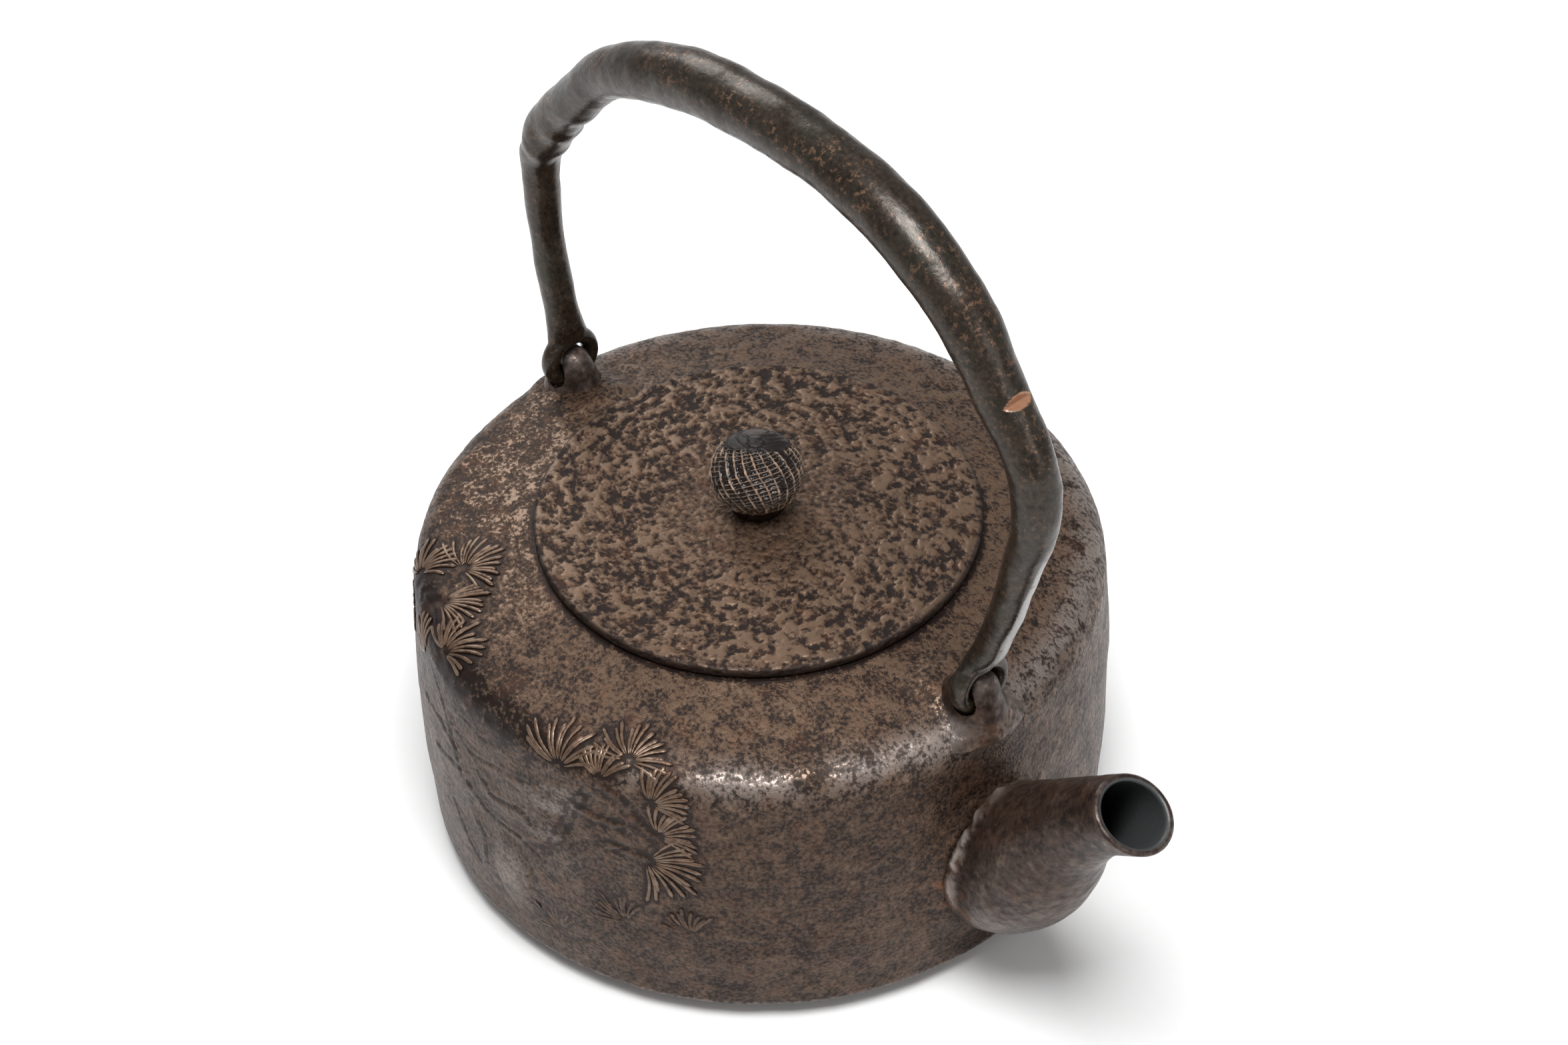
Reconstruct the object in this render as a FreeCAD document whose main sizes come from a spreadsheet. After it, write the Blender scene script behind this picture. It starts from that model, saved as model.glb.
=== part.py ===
import FreeCAD, Part
import math
import os

import Sketcher
from FreeCAD import Placement, Rotation, Vector

# Cast-iron hot-water kettle: a low round body with a cast-in spout and two lugs, a lid that lifts
# off, a pine-cone knob that turns on its rivet, and a bail handle that swings on the lugs.
#
# Frame, in millimetres: +Z is up, the origin is the centre of the flat face that the kettle stands
# on, and +X points to the spout. The bail arch, the lugs and the spout all lie in the XZ plane.

DRIVING_SIZES = {
    # body, outside
    "foot_radius": 70.0,
    "hem_radius": 79.0,
    "hem_height": 4.0,
    "lip_radius": 85.0,
    "lip_height": 5.0,
    "belly_radius": 86.1,
    "belly_bottom": 24.0,
    "belly_top": 50.0,
    "shoulder_radius": 84.2,
    "shoulder_height": 79.4,
    "shoulder_round": 9.0,
    "seat_radius": 55.0,
    "seat_height": 85.8,
    # body, inside
    "chamber_radius": 81.6,
    "chamber_floor": 4.4,
    "chamber_round": 6.0,
    "chamber_top": 77.0,
    "ceiling_height": 82.6,
    "mouth_radius": 48.5,
    # lid
    "lid_radius": 54.3,
    "lid_rim_top": 88.6,
    "lid_rim_bottom": 86.4,
    "lid_seat_outer": 51.5,
    "lid_crown_radius": 20.0,
    "lid_crown_top": 90.5,
    "lid_recess_radius": 10.0,
    "lid_recess_top": 88.4,
    "lid_rim_round": 0.8,
    "flange_outer": 47.8,
    "flange_inner": 45.0,
    "flange_bottom": 78.0,
    # knob, its rivet and the washer under the lid
    "knob_radius": 11.4,
    "knob_centre": 100.8,
    "knob_half_height": 10.4,
    "knob_bottom": 90.7,
    "knob_tip_radius": 2.4,
    "knob_tip_top": 112.4,
    "rivet_radius": 1.8,
    "rivet_top": 100.0,
    "rivet_hole_radius": 1.88,
    "rivet_head_radius": 3.2,
    "rivet_head_edge_radius": 2.2,
    "rivet_head_bottom": 86.3,
    "washer_radius": 5.5,
    "washer_bottom": 87.3,
    "washer_top": 88.25,
    # lugs, measured out from the ring that hangs in each
    "lug_width": 8.0,
    "lug_foot_height": 79.0,
    "lug_foot_inward": 13.0,
    "lug_foot_outward": 6.3,
    "lug_chin_height": 71.0,
    "lug_chin_outward": 3.5,
    "lug_crest_height": 93.6,
    "lug_crest_inward": 3.6,
    "lug_crest_outward": 2.6,
    "lug_crest_round": 3.0,
    "lug_edge_round": 3.0,
    # rings at the ends of the bail
    "ring_height": 90.5,
    "ring_front": 79.0,
    "ring_rear": -74.0,
    "ring_radius": 6.2,
    "ring_wire_radius": 2.1,
    "ring_gap_angle": 12.0,
    "ring_clearance": 0.35,
    # walls
    "spout_wall": 2.4,
    "spout_mouth_turn": 14.0,
    "bail_wall": 1.4,
}

# Spout stations from inside the chamber to the mouth: x, z, the section's tilt above the
# horizontal in degrees, its half height and its half width.
SPOUT_STATIONS = [
    (77.0, 36.0, 0.0, 21.5, 14.8),
    (87.0, 37.5, 8.0, 21.0, 16.2),
    (94.0, 42.0, 26.0, 18.8, 16.2),
    (99.8, 48.6, 42.0, 17.0, 15.4),
    (104.8, 56.8, 50.0, 14.8, 13.8),
    (109.8, 65.0, 50.0, 12.2, 11.5),
    (115.5, 73.0, 46.0, 10.2, 9.8),
    (121.8, 80.0, 46.0, 9.2, 9.2),
    (130.0, 87.0, 61.0, 10.0, 10.0),
]

SPOUT_COLUMNS = ("along", "up", "tilt", "high", "wide")

# Bail stations from the rear ring over the top to the front ring: x, z, half thickness in the plane
# of the arch, half thickness across it.
BAIL_STATIONS = [
    (-74.1, 94.9, 2.6, 6.2),
    (-74.9, 99.2, 3.7, 5.2),
    (-76.2, 105.0, 4.1, 4.3),
    (-78.6, 118.0, 4.1, 4.2),
    (-79.9, 136.0, 4.6, 4.7),
    (-79.0, 152.0, 4.8, 5.0),
    (-73.8, 163.0, 5.7, 5.8),
    (-62.5, 177.5, 5.8, 5.9),
    (-49.5, 191.5, 6.1, 6.2),
    (-26.0, 204.3, 7.2, 7.3),
    (5.0, 211.3, 7.2, 7.4),
    (30.0, 212.0, 7.1, 7.3),
    (54.0, 207.0, 7.3, 7.4),
    (71.5, 196.5, 6.6, 6.7),
    (84.8, 180.0, 6.1, 6.2),
    (93.5, 168.5, 5.6, 5.7),
    (95.9, 156.5, 5.4, 5.5),
    (91.9, 135.8, 4.7, 4.8),
    (85.6, 113.0, 3.9, 4.0),
    (82.0, 102.6, 3.7, 4.4),
    (80.0, 97.9, 3.2, 5.4),
    (79.0, 94.9, 2.6, 6.2),
]

BAIL_COLUMNS = ("along", "up", "thick", "wide")

# Stations of the bail between which it is hollow, counted in from each end.
SOLID_STATIONS = 4

# How far the spout's bore runs on past both ends of the spout, and how close is the same place.
BORE_OVERRUN = 1.0
SAME_PLACE = 0.01

document = FreeCAD.newDocument("Kettle")
sizes = document.addObject("Spreadsheet::Sheet", "Sizes")


def fill_sheet():
    """Write every driving dimension to the sheet, one row each, under its own alias."""
    rows = dict(DRIVING_SIZES)
    for number, station in enumerate(SPOUT_STATIONS, 1):
        for part, value in zip(SPOUT_COLUMNS, station):
            rows[f"spout{number}_{part}"] = value
    for number, station in enumerate(BAIL_STATIONS, 1):
        for part, value in zip(BAIL_COLUMNS, station):
            rows[f"bail{number}_{part}"] = value
    for row, (name, value) in enumerate(rows.items(), 1):
        sizes.set(f"A{row}", name)
        sizes.set(f"B{row}", str(value))
        sizes.setAlias(f"B{row}", name)
    document.recompute()


def size(name):
    """The value in the cell with this alias; a leading minus turns it over, and 0 is itself."""
    if name == 0:
        return 0.0
    if name.startswith("-"):
        return -size(name[1:])
    return float(getattr(sizes, name))


def formula(name):
    """The expression that reads the same cell as size does."""
    if name == 0:
        return "0"
    if name.startswith("-"):
        return f"-Sizes.{name[1:]}"
    return f"Sizes.{name}"


def bind(thing, **cells):
    """Tie properties of a document object to cells of the sheet."""
    for prop, cell in cells.items():
        thing.setExpression(prop, formula(cell))
    return thing


# --- sketched pieces ---------------------------------------------------------------------------

def outline_sketch(body, name, vertices):
    """A closed outline in the body's XZ plane, each corner held by two cells: across and up."""
    sketch = body.newObject("Sketcher::SketchObject", name)
    plane = next(f for f in body.Origin.OriginFeatures if f.Role == "XZ_Plane")
    sketch.AttachmentSupport = [(plane, "")]
    sketch.MapMode = "FlatFace"
    corners = [Vector(size(across), size(up), 0) for across, up in vertices]
    count = len(corners)
    for i in range(count):
        sketch.addGeometry(Part.LineSegment(corners[i], corners[(i + 1) % count]), False)
    for i in range(count):
        sketch.addConstraint(Sketcher.Constraint("Coincident", i, 2, (i + 1) % count, 1))
    for i, cells in enumerate(vertices):
        for kind, cell in zip(("DistanceX", "DistanceY"), cells):
            place = sketch.addConstraint(Sketcher.Constraint(kind, -1, 1, i, 1, size(cell)))
            sketch.renameConstraint(place, f"corner{i}_{kind}")
            sketch.setExpression(f"Constraints.corner{i}_{kind}", formula(cell))
    return sketch


def revolved_body(name, vertices):
    """A PartDesign body turned about Z from an outline of radii and heights."""
    body = document.addObject("PartDesign::Body", name)
    sketch = outline_sketch(body, name + "_outline", vertices)
    turn = body.newObject("PartDesign::Revolution", name + "_turn")
    turn.Profile = sketch
    turn.ReferenceAxis = (sketch, ["V_Axis"])
    turn.Angle = 360
    document.recompute()
    return body


def round_off(body, name, cell, is_edge):
    """Fillet the edges of a body that the test picks, by the radius in a cell."""
    base = body.Tip
    picked = [f"Edge{i}" for i, edge in enumerate(base.Shape.Edges, 1) if is_edge(edge)]
    if not picked:
        raise RuntimeError(f"{name}: no edge to round")
    fillet = body.newObject("PartDesign::Fillet", name)
    fillet.Base = (base, picked)
    bind(fillet, Radius=cell)
    document.recompute()


def circle_at(radius, height):
    """A test for the circular edge of this radius about Z at this height."""
    def is_edge(edge):
        curve = edge.Curve
        if not isinstance(curve, Part.Circle):
            return False
        off_radius = abs(curve.Radius - size(radius))
        off_height = abs(curve.Center.z - size(height))
        return max(off_radius, off_height) < SAME_PLACE
    return is_edge


# --- primitives and booleans -------------------------------------------------------------------

def cylinder(name, radius, bottom, top):
    """An upright cylinder on the Z axis between two heights."""
    shape = document.addObject("Part::Cylinder", name)
    bind(shape, Radius=radius)
    shape.setExpression("Height", f"{formula(top)} - {formula(bottom)}")
    shape.setExpression("Placement.Base.z", formula(bottom))
    return shape


def cut(name, base, tool):
    """Base less tool."""
    result = document.addObject("Part::Cut", name)
    result.Base = base
    result.Tool = tool
    document.recompute()
    return result


def fuse(name, pieces):
    """Several overlapping shapes as one."""
    result = document.addObject("Part::MultiFuse", name)
    result.Shapes = pieces
    document.recompute()
    return result


def smooth_tube(name, stations):
    """A smooth solid tube through oval stations, as a shape that is set in code.

    Part::Loft stops with an error on these tilted ovals, so the skin is one B-spline surface. It is
    periodic round the tube, and along it each of its lines passes through the stations. A station
    is its centre, its facing and its half sizes along its own X and Y.
    """
    around = 8
    turn = 2 * math.pi / around
    # A uniform cubic through poles on a circle runs inside them by this factor.
    reach = 6 / (4 + 2 * math.cos(turn))
    lines = []
    for step in range(around):
        unit = Vector(math.cos(step * turn), math.sin(step * turn), 0) * reach
        lines.append([centre + facing.multVec(Vector(unit.x * half_x, unit.y * half_y, 0))
                      for centre, facing, half_x, half_y in stations])
    run = [0.0]
    for before, after in zip(stations, stations[1:]):
        run.append(run[-1] + (after[0] - before[0]).Length)
    curves = []
    for line in lines:
        curve = Part.BSplineCurve()
        curve.interpolate(Points=line, Parameters=[place / run[-1] for place in run])
        curves.append(curve)
    poles = list(zip(*(curve.getPoles() for curve in curves)))
    skin = Part.BSplineSurface()
    skin.buildFromPolesMultsKnots(poles, curves[0].getMultiplicities(), [1] * (around + 1),
                                  curves[0].getKnots(), list(range(around + 1)), False, True, 3, 3)
    side = skin.toShape()
    rims = [edge for edge in side.Edges if edge.isClosed()]
    shell = Part.Shell([side] + [Part.Face(Part.Wire([rim])) for rim in rims])
    shell.sewShape()
    solid = Part.makeSolid(shell)
    if solid.Volume < 0:
        solid.reverse()
    feature = document.addObject("Part::Feature", name)
    feature.Shape = solid
    return feature


def ring_at(name, along, clearance=None):
    """The ring round a lug, in the YZ plane, open at its foot; a clearance makes its channel."""
    ring = document.addObject("Part::Torus", name)
    bind(ring, Radius1="ring_radius", Radius2="ring_wire_radius")
    opening = 0.0
    if clearance:
        ring.setExpression("Radius2", f"{formula('ring_wire_radius')} + {formula(clearance)}")
    else:
        opening = size("ring_gap_angle")
        ring.setExpression("Angle3", f"360 - {formula('ring_gap_angle')}")
    lay_down = Rotation(Vector(0, 1, 0), 90)
    start_at_foot = Rotation(Vector(0, 0, 1), opening / 2)
    ring.Placement = Placement(Vector(size(along), 0, size("ring_height")), lay_down * start_at_foot)
    return ring


# --- the pieces --------------------------------------------------------------------------------

def outer_form():
    """The outside of the kettle body as a solid, without spout or lugs."""
    body = revolved_body("OuterForm", [
        (0, 0), ("foot_radius", 0), ("hem_radius", "hem_height"), ("lip_radius", "lip_height"),
        ("belly_radius", "belly_bottom"), ("belly_radius", "belly_top"),
        ("shoulder_radius", "shoulder_height"), ("seat_radius", "seat_height"), (0, "seat_height"),
    ])
    round_off(body, "ShoulderRound", "shoulder_round", circle_at("shoulder_radius", "shoulder_height"))
    return body


def chamber_form():
    """The water space with its mouth, as a solid that runs out through the top."""
    body = revolved_body("ChamberForm", [
        (0, "chamber_floor"), ("chamber_radius", "chamber_floor"), ("chamber_radius", "chamber_top"),
        ("mouth_radius", "ceiling_height"), ("mouth_radius", "lid_crown_top"), (0, "lid_crown_top"),
    ])
    for height in ("chamber_floor", "chamber_top"):
        round_off(body, f"Round_{height}", "chamber_round", circle_at("chamber_radius", height))
    return body


def spout_form(name, inset=0.0, stretch=0.0):
    """The spout's outside, or its bore when inset, run on by a stretch past both of its ends."""
    stations = []
    last = len(SPOUT_STATIONS)
    for number in range(1, last + 1):
        along, up, tilt, high, wide = (size(f"spout{number}_{part}") for part in SPOUT_COLUMNS)
        turn = size("spout_mouth_turn") if number == last else 0.0
        facing = Rotation(Vector(0, 0, 1), turn) * Rotation(Vector(0, 1, 0), 90 - tilt)
        overrun = {1: -stretch, last: stretch}.get(number, 0.0)
        centre = Vector(along, 0, up) + facing.multVec(Vector(0, 0, overrun))
        stations.append((centre, facing, high - inset, wide - inset))
    return smooth_tube(name, stations)


def bail_form(name, skip, inset=0.0):
    """The bail's arch as a tube, leaving out a number of stations at each end."""
    count = len(BAIL_STATIONS)
    rows = [[size(f"bail{i}_{part}") for part in BAIL_COLUMNS] for i in range(1, count + 1)]
    points = [Vector(along, 0, up) for along, up, _, _ in rows]
    stations = []
    for i in range(skip, count - skip):
        if i == 0:
            direction = Vector(0, 0, 1)
        elif i == count - 1:
            direction = Vector(0, 0, -1)
        else:
            direction = (points[i] - points[i - 1]).normalize() + (points[i + 1] - points[i]).normalize()
        facing = Rotation(Vector(0, 1, 0), math.degrees(math.atan2(direction.x, direction.z)))
        thick, wide = rows[i][2:]
        stations.append((points[i], facing, thick - inset, wide - inset))
    return smooth_tube(name, stations)


def lug(label, along, turn, outer):
    """A rounded ridge on the shoulder, with the channel that its ring runs in.

    The outline's own X points out from the kettle, so the rear lug is turned half round.
    """
    body = document.addObject("PartDesign::Body", label + "_ridge")
    sketch = outline_sketch(body, label + "_outline", [
        ("-lug_foot_inward", "lug_foot_height"), ("lug_chin_outward", "lug_chin_height"),
        ("lug_foot_outward", "lug_foot_height"), ("lug_crest_outward", "lug_crest_height"),
        ("-lug_crest_inward", "lug_crest_height"),
    ])
    pad = body.newObject("PartDesign::Pad", label + "_pad")
    pad.Profile = sketch
    pad.SideType = "Symmetric"
    bind(pad, Length="lug_width")
    document.recompute()

    def on_crest(edge):
        box = edge.BoundBox
        across = max(box.ZLength, box.XLength) < SAME_PLACE
        return across and box.ZMax > size("lug_crest_height") - SAME_PLACE
    round_off(body, label + "_crest", "lug_crest_round", on_crest)

    def beside_crest(edge):
        box = edge.BoundBox
        off_side = abs(abs(box.YMax) - size("lug_width") / 2)
        on_side = max(box.YLength, off_side) < SAME_PLACE
        return on_side and box.ZMax > size("lug_foot_height") + SAME_PLACE
    round_off(body, label + "_edges", "lug_edge_round", beside_crest)

    body.Placement = Placement(Vector(size(along), 0, 0), Rotation(Vector(0, 0, 1), turn))
    seated = cut(label + "_seated", body, outer)
    return cut(label, seated, ring_at(label + "_channel", along, "ring_clearance"))


def bail_handle():
    """The hollow arch with its two solid ends, each forked into an open ring."""
    arch = bail_form("BailArch", 0)
    rings = [ring_at("RearRing", "ring_rear"), ring_at("FrontRing", "ring_front")]
    whole = fuse("BailWhole", [arch] + rings)
    return cut("bail_handle", whole, bail_form("BailHollow", SOLID_STATIONS, size("bail_wall")))


def lid():
    """The domed lid: a flange that keeps it in the mouth, the rivet's hole and the washer's recess."""
    body = revolved_body("lid", [
        ("rivet_hole_radius", "lid_recess_top"), ("rivet_hole_radius", "lid_crown_top"),
        ("lid_crown_radius", "lid_crown_top"), ("lid_radius", "lid_rim_top"),
        ("lid_radius", "lid_rim_bottom"), ("lid_seat_outer", "seat_height"),
        ("flange_outer", "seat_height"), ("flange_outer", "flange_bottom"),
        ("flange_inner", "flange_bottom"), ("flange_inner", "lid_rim_bottom"),
        ("lid_recess_radius", "lid_rim_bottom"), ("lid_recess_radius", "lid_recess_top"),
    ])
    round_off(body, "LidRimRound", "lid_rim_round", circle_at("lid_radius", "lid_rim_top"))
    return body


def lid_knob():
    """The pine cone as an egg with a flat base and a stub at its tip, bored for the rivet."""
    egg = document.addObject("Part::Ellipsoid", "KnobEgg")
    bind(egg, Radius1="knob_half_height", Radius2="knob_radius", Radius3="knob_radius")
    egg.setExpression("Placement.Base.z", formula("knob_centre"))
    tip = cylinder("KnobTip", "knob_tip_radius", "knob_centre", "knob_tip_top")
    cone = fuse("KnobCone", [egg, tip])
    base = cut("KnobBased", cone, cylinder("KnobFoot", "knob_radius", "washer_top", "knob_bottom"))
    return cut("lid_knob", base, cylinder("KnobBore", "rivet_radius", "washer_top", "rivet_top"))


def knob_pin():
    """The rivet: a shank that is set in the knob, with a head peened over under the washer."""
    return revolved_body("knob_pin", [
        (0, "rivet_head_bottom"), ("rivet_head_edge_radius", "rivet_head_bottom"),
        ("rivet_head_radius", "washer_bottom"), ("rivet_radius", "washer_bottom"),
        ("rivet_radius", "rivet_top"), (0, "rivet_top"),
    ])


def knob_washer():
    """The flat washer between the lid's underside and the rivet's head."""
    return revolved_body("knob_washer", [
        ("rivet_radius", "washer_bottom"), ("washer_radius", "washer_bottom"),
        ("washer_radius", "washer_top"), ("rivet_radius", "washer_top"),
    ])


def build():
    """Make every piece, in the order that a caster and a smith would."""
    outer = outer_form()
    chamber = chamber_form()
    spout_outside = spout_form("SpoutOutside")
    hollow = cut("BodyHollow", outer, chamber)
    spout_bored = cut("SpoutBored", spout_outside, spout_form("SpoutBore", size("spout_wall"), BORE_OVERRUN))
    return [
        cut("kettle_body", hollow, spout_outside),
        cut("spout", spout_bored, chamber),
        lug("front_lug", "ring_front", 0, outer),
        lug("rear_lug", "ring_rear", 180, outer),
        bail_handle(),
        lid(),
        lid_knob(),
        knob_pin(),
        knob_washer(),
    ]


def check_and_write(pieces):
    """Stop on a failed feature or a bad shape, then write one STEP file for each piece."""
    document.recompute()
    for thing in document.Objects:
        if "Invalid" in thing.State or "Error" in thing.State:
            raise RuntimeError(f"{thing.Name} failed: {thing.State}")
    os.makedirs("parts", exist_ok=True)
    for piece in pieces:
        shape = piece.Shape
        if shape.isNull() or not shape.isValid() or len(shape.Solids) != 1:
            raise RuntimeError(f"{piece.Label} isn't one sound solid: {len(shape.Solids)} solids")
        shape.exportStep(f"parts/{piece.Label}.step")
        box = shape.BoundBox
        print(f"{piece.Label}: {shape.Volume / 1000:.1f} cm3, x {box.XMin:.1f}..{box.XMax:.1f}, "
              f"y {box.YMin:.1f}..{box.YMax:.1f}, z {box.ZMin:.1f}..{box.ZMax:.1f}")


fill_sheet()
check_and_write(build())
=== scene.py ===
import math

import bpy
import numpy as np
from mathutils import Matrix, Vector


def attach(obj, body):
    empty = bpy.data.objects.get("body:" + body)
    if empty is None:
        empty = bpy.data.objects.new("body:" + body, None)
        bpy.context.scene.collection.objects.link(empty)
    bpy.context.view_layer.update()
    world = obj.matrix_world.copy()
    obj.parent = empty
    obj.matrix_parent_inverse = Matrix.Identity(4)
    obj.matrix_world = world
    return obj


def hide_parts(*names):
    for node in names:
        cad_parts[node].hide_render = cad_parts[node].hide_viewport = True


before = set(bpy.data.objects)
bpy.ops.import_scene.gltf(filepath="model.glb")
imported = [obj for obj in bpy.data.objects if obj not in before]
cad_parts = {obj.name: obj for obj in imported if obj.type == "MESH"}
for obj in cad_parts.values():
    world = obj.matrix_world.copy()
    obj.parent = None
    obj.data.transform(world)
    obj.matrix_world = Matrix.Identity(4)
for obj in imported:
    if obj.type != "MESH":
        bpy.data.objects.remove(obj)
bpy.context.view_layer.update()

# Cast-iron kettle. Every surface is worked out here in millimetres, in the CAD frame: +Z up, the
# origin at the centre of the foot, +X to the spout. Azimuths are degrees round Z from +X.

MM = 0.001

# --- body, from the CAD model's driving dimensions ---

SEAT_RADIUS = 55.0
SEAT_HEIGHT = 85.8
CHAMBER_RADIUS = 81.6
# Corners of the body's outline: radius, height, rounding, spacing of points up to the next corner.
BODY_OUTLINE = [
    (1.0, 0.0, 0.0, 8.0),
    (70.0, 0.0, 1.5, 1.5),
    (79.0, 4.0, 1.2, 1.5),
    (85.0, 5.0, 1.1, 0.75),
    (86.1, 24.0, 60.0, 0.75),
    (86.1, 50.0, 60.0, 0.75),
    (84.2, 79.4, 9.0, 0.7),
    (SEAT_RADIUS, SEAT_HEIGHT, 1.0, 1.0),
    (48.5, SEAT_HEIGHT, 0.8, 1.0),
    (48.5, 82.6, 0.8, 5.0),
    (CHAMBER_RADIUS, 77.0, 6.0, 7.0),
    (CHAMBER_RADIUS, 4.4, 6.0, 12.0),
    (1.0, 4.4, 0.0, 1.0),
]
LIP_HEIGHT = 5.0

BODY_COLUMNS = 500

# --- lid ---

LID_RADIUS = 54.3
RIVET_HOLE = 1.88
LID_OUTLINE = [
    (RIVET_HOLE, 88.4, 0.0, 2.0),
    (10.0, 88.4, 0.4, 1.0),
    (10.0, 86.4, 0.5, 4.0),
    (45.0, 86.4, 1.0, 2.0),
    (45.0, 78.0, 0.5, 1.0),
    (47.8, 78.0, 0.5, 2.0),
    (47.8, 85.8, 0.3, 1.0),
    (51.5, 85.8, 0.5, 1.0),
    (LID_RADIUS, 86.4, 0.4, 0.6),
    (LID_RADIUS, 88.6, 0.9, 0.45),
    (20.0, 90.5, 30.0, 0.5),
    (RIVET_HOLE, 90.5, 0.0, 1.0),
]

# --- knob ---

KNOB_RADIUS = 11.1
KNOB_HALF_HEIGHT = 9.4
KNOB_CENTRE = 101.4
KNOB_BOTTOM = 90.7
KNOB_NECK_RADIUS = 6.8
KNOB_TIP_RADIUS = 2.2
KNOB_TIP_TOP = 111.6
# The cone is modelled leaning back: how far its pattern's axis leans, and towards which azimuth.
KNOB_LEAN = 30.0
KNOB_LEAN_AZIMUTH = 141.5

# --- spout: x, z, tilt above level, half height, half width, wall, turn round Z ---

SPOUT_STATIONS = [
    (77.0, 36.0, 0.0, 21.5, 14.8, 2.4, 0.0),
    (87.0, 37.5, 8.0, 21.0, 16.2, 2.4, 0.0),
    (94.0, 42.0, 26.0, 18.8, 16.2, 2.4, 0.0),
    (99.8, 48.6, 42.0, 17.0, 15.4, 2.4, 0.0),
    (104.8, 56.8, 50.0, 14.8, 13.8, 2.4, 0.0),
    (109.8, 65.0, 50.0, 12.2, 11.5, 2.4, 0.0),
    (115.5, 73.0, 46.0, 10.2, 9.8, 2.3, 3.0),
    (121.8, 80.0, 46.0, 9.2, 9.2, 2.1, 8.0),
    (130.0, 87.0, 61.0, 10.0, 10.0, 1.9, 14.0),
]

# --- handle: x, z, half thickness in the arch's plane, half thickness across it ---

BAIL_STATIONS = [
    (-74.1, 94.9, 2.6, 6.2),
    (-74.9, 99.2, 3.7, 5.2),
    (-76.2, 105.0, 4.1, 4.3),
    (-78.6, 118.0, 4.1, 4.2),
    (-79.9, 136.0, 4.6, 4.7),
    (-79.0, 152.0, 4.8, 5.0),
    (-73.8, 163.0, 5.7, 5.8),
    (-62.5, 177.5, 5.8, 5.9),
    (-49.5, 191.5, 6.1, 6.2),
    (-26.0, 204.3, 7.2, 7.3),
    (5.0, 211.3, 7.2, 7.4),
    (30.0, 212.0, 7.1, 7.3),
    (54.0, 207.0, 7.3, 7.4),
    (71.5, 196.5, 6.6, 6.7),
    (84.8, 180.0, 6.1, 6.2),
    (93.5, 168.5, 5.6, 5.7),
    (95.9, 156.5, 5.4, 5.5),
    (91.9, 135.8, 4.7, 4.8),
    (85.6, 113.0, 3.9, 4.0),
    (82.0, 102.6, 3.7, 4.4),
    (79.4, 97.9, 2.9, 5.4),
    (79.0, 94.9, 2.6, 6.2),
]
RING_PLACES = {"rear": -74.0, "front": 79.0}
RING_HEIGHT = 90.5
RING_RADIUS = 6.2
RING_WIRE = 2.1
RING_FLATNESS = 1.25
RING_GAP = 12.0
RING_CLEARANCE = 0.65

# --- lugs: height, reach inward, reach outward, half width ---

LUG_LEVELS = [
    (77.0, 21.0, 8.0, 13.0),
    (79.0, 19.0, 7.8, 10.8),
    (80.6, 16.4, 7.3, 8.8),
    (82.0, 13.8, 6.8, 7.5),
    (83.6, 11.4, 6.3, 6.6),
    (86.0, 8.8, 5.6, 5.8),
    (89.0, 6.9, 4.9, 5.0),
    (91.0, 5.6, 4.2, 4.3),
    (92.5, 4.3, 3.2, 3.4),
    (93.3, 2.9, 2.0, 2.3),
    (93.7, 1.2, 0.6, 0.8),
]

# --- camera and light, in metres ---

CAMERA_PLACE = (0.50694, -0.40324, 0.69408)
CAMERA_AIM = (-0.00200, 0.00961, 0.07720)
CAMERA_ROLL = 1.73
CAMERA_LENS = 84.18
SENSOR_WIDTH = 36.0


# --- noise ---

def cell_value(cell, seed):
    """A fixed pseudo-random value in 0..1 for each whole-numbered cell."""
    mixed = (cell[..., 0] * 374761393 + cell[..., 1] * 668265263 + cell[..., 2] * 1103515245
             + seed * 974634777) & 0xFFFFFFFF
    mixed = ((mixed ^ (mixed >> 13)) * 1274126177) & 0xFFFFFFFF
    mixed = ((mixed ^ (mixed >> 16)) * 1597334677) & 0xFFFFFFFF
    return (mixed ^ (mixed >> 15)) / 0xFFFFFFFF


def bumps(points, size, seed):
    """Smooth noise in -1..1 whose bumps are about `size` across."""
    scaled = points / size
    cell = np.floor(scaled).astype(np.int64)
    part = scaled - cell
    part = part * part * (3 - 2 * part)
    total = np.zeros(points.shape[:-1])
    for corner in np.ndindex(2, 2, 2):
        weight = np.prod(np.where(np.array(corner) == 1, part, 1 - part), axis=-1)
        total += weight * cell_value(cell + np.array(corner), seed)
    return 2 * total - 1


def rough(points, size, seed, layers=3):
    """Bumps with finer and finer layers on top of each other, in about -1..1."""
    total = sum(bumps(points, size / 2 ** k, seed + k) / 1.6 ** k for k in range(layers))
    return total / sum(1 / 1.6 ** k for k in range(layers)) * 1.5


def scattered(points, size, seed):
    """How much nearer the nearest of scattered points is than the next one, in cells."""
    scaled = points / size
    home = np.floor(scaled).astype(np.int64)
    nearest = np.full(points.shape[:-1], 9.0)
    second = nearest.copy()
    for offset in np.ndindex(3, 3, 3):
        cell = home + np.array(offset) - 1
        spot = cell + np.stack([cell_value(cell, seed + k) for k in range(3)], axis=-1)
        away = np.linalg.norm(scaled - spot, axis=-1)
        second = np.minimum(second, np.maximum(nearest, away))
        nearest = np.minimum(nearest, away)
    return second - nearest


def ease(low, high, value):
    """0 below low, 1 above high, and a smooth step between."""
    part = np.clip((value - low) / (high - low), 0, 1)
    return part * part * (3 - 2 * part)


def hump(distance, width):
    """1 at no distance, falling smoothly to nothing over about twice the width."""
    return np.exp(-(distance / width) ** 2)


# --- surfaces ---

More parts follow.
